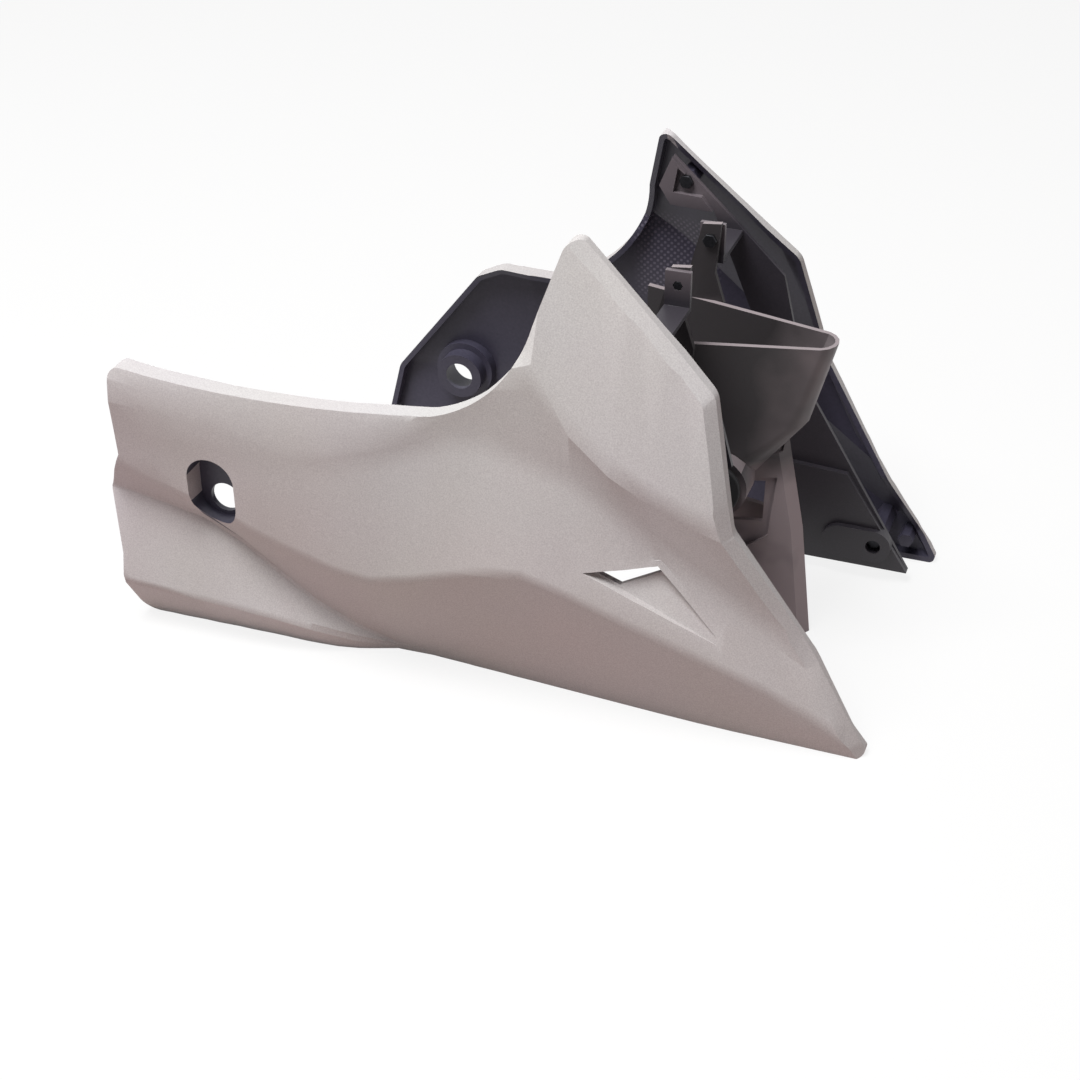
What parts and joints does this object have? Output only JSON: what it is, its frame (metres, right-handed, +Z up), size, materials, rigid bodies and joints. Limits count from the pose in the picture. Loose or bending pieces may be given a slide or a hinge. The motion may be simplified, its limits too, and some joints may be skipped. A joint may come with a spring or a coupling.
{
  "type": "motorbike engine guard",
  "caption": "Sharp-edged belly cowl for a motorbike engine: two thin moulded side cowls with vents, inner panels and a V-shaped front scoop on rubber mounts.",
  "frame": {"origin": "middle of the part's box on the level that the lower edges of the side cowls rest on", "axes": "+X towards the front of the motorbike, +Y to its left, +Z up"},
  "size_m": [0.3752, 0.2249, 0.2238],
  "materials": {
    "silver_paint": "satin silver-grey paint on moulded ABS, bare black inside",
    "black_abs": "bare black moulded ABS with a fine grain",
    "grey_abs": "dark moulded ABS dusted with grey overspray",
    "rubber": "matt black moulded rubber",
    "steel": "zinc-plated steel",
    "black_steel": "blackened steel"
  },
  "bodies": {
    "root": {"right_side_cowl": "silver_paint", "left_side_cowl": "silver_paint", "right_inner_panel": "black_abs", "left_inner_panel": "black_abs", "front_scoop": "grey_abs", "front_grommets": "rubber", "front_collars": "steel", "panel_screws": "black_steel", "strap_screws": "black_steel"}
  },
  "joints": []
}
